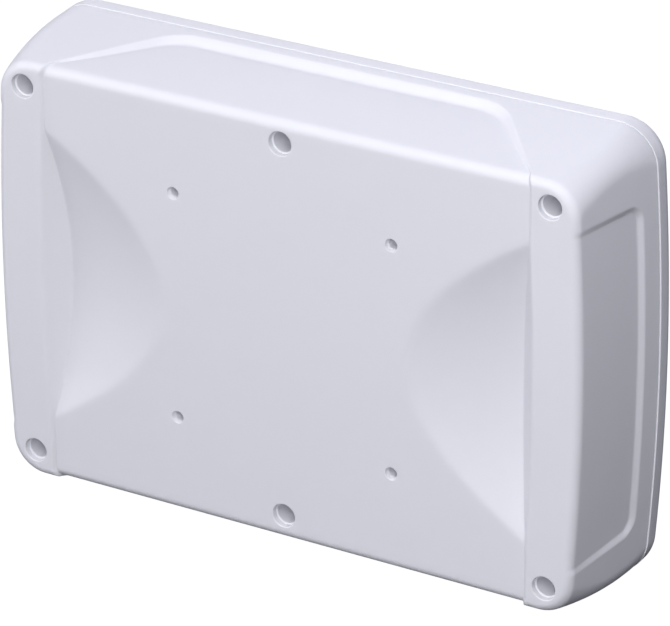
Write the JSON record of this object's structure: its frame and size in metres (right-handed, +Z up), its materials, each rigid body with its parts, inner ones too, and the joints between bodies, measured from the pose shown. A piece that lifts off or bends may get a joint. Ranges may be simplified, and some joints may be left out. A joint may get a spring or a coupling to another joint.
{
  "type": "enclosed yagi antenna",
  "caption": "Flat white outdoor directional antenna housing: recessed rear panel with bracket holes, end pockets, clamped-on front cover, slanted yagi stacks inside, coaxial jacks below.",
  "frame": {"origin": "centre of the square of four bracket holes, on the rear panel's flat face", "axes": "+X along the housing's long side, towards the right end seen from behind; +Y forwards, out of the front cover along the beam; +Z up, away from the coaxial jacks"},
  "size_m": [0.2134, 0.0487, 0.1556],
  "materials": {
    "housing_white": "moulded, very fine satin texture",
    "gasket_black": "matte silicone",
    "stainless_steel": "bright, turned",
    "brass": "turned and knurled",
    "aluminium": "mill finish sheet",
    "carrier_plastic": "moulded, as ejected",
    "nylon": "natural nylon",
    "circuit_board": "glass-fibre laminate with green solder resist",
    "copper": null,
    "gold_plate": "thin gold plating over brass",
    "insulator_white": "turned fluoropolymer",
    "coax_jacket": "smooth extruded fluoropolymer jacket"
  },
  "bodies": {
    "root": {"carrier_screw_left_1": "stainless_steel", "carrier_screw_left_2": "stainless_steel", "carrier_screw_right_1": "stainless_steel", "carrier_screw_right_2": "stainless_steel", "coax_cable_left": "coax_jacket", "coax_cable_right": "coax_jacket", "cover_insert_bottom_left": "brass", "cover_insert_bottom_middle": "brass", "cover_insert_bottom_right": "brass", "cover_insert_top_left": "brass", "cover_insert_top_middle": "brass", "cover_insert_top_right": "brass", "dipole_arm_left_lower": "copper", "dipole_arm_left_upper": "copper", "dipole_arm_right_lower": "copper", "dipole_arm_right_upper": "copper", "dipole_board_left": "circuit_board", "dipole_board_right": "circuit_board", "director_left": "aluminium", "director_right": "aluminium", "front_cover": "housing_white", "housing_screw_bottom_left": "stainless_steel", "housing_screw_bottom_middle": "stainless_steel", "housing_screw_bottom_right": "stainless_steel", "housing_screw_top_left": "stainless_steel", "housing_screw_top_middle": "stainless_steel", "housing_screw_top_right": "stainless_steel", "jack_body_left": "gold_plate", "jack_body_right": "gold_plate", "jack_contact_left": "gold_plate", "jack_contact_right": "gold_plate", "jack_insulator_left": "insulator_white", "jack_insulator_right": "insulator_white", "jack_nut_left": "gold_plate", "jack_nut_right": "gold_plate", "jack_seal_left": "gasket_black", "jack_seal_right": "gasket_black", "jack_washer_left": "stainless_steel", "jack_washer_right": "stainless_steel", "perimeter_gasket": "gasket_black", "plate_screw_bottom_left": "stainless_steel", "plate_screw_bottom_right": "stainless_steel", "plate_screw_top_left": "stainless_steel", "plate_screw_top_right": "stainless_steel", "rear_shell": "housing_white", "reflector_plate": "aluminium", "spacer_sleeve_left": "nylon", "spacer_sleeve_right": "nylon", "stack_carrier_left": "carrier_plastic", "stack_carrier_right": "carrier_plastic", "stack_screw_left": "stainless_steel", "stack_screw_right": "stainless_steel"}
  },
  "joints": []
}
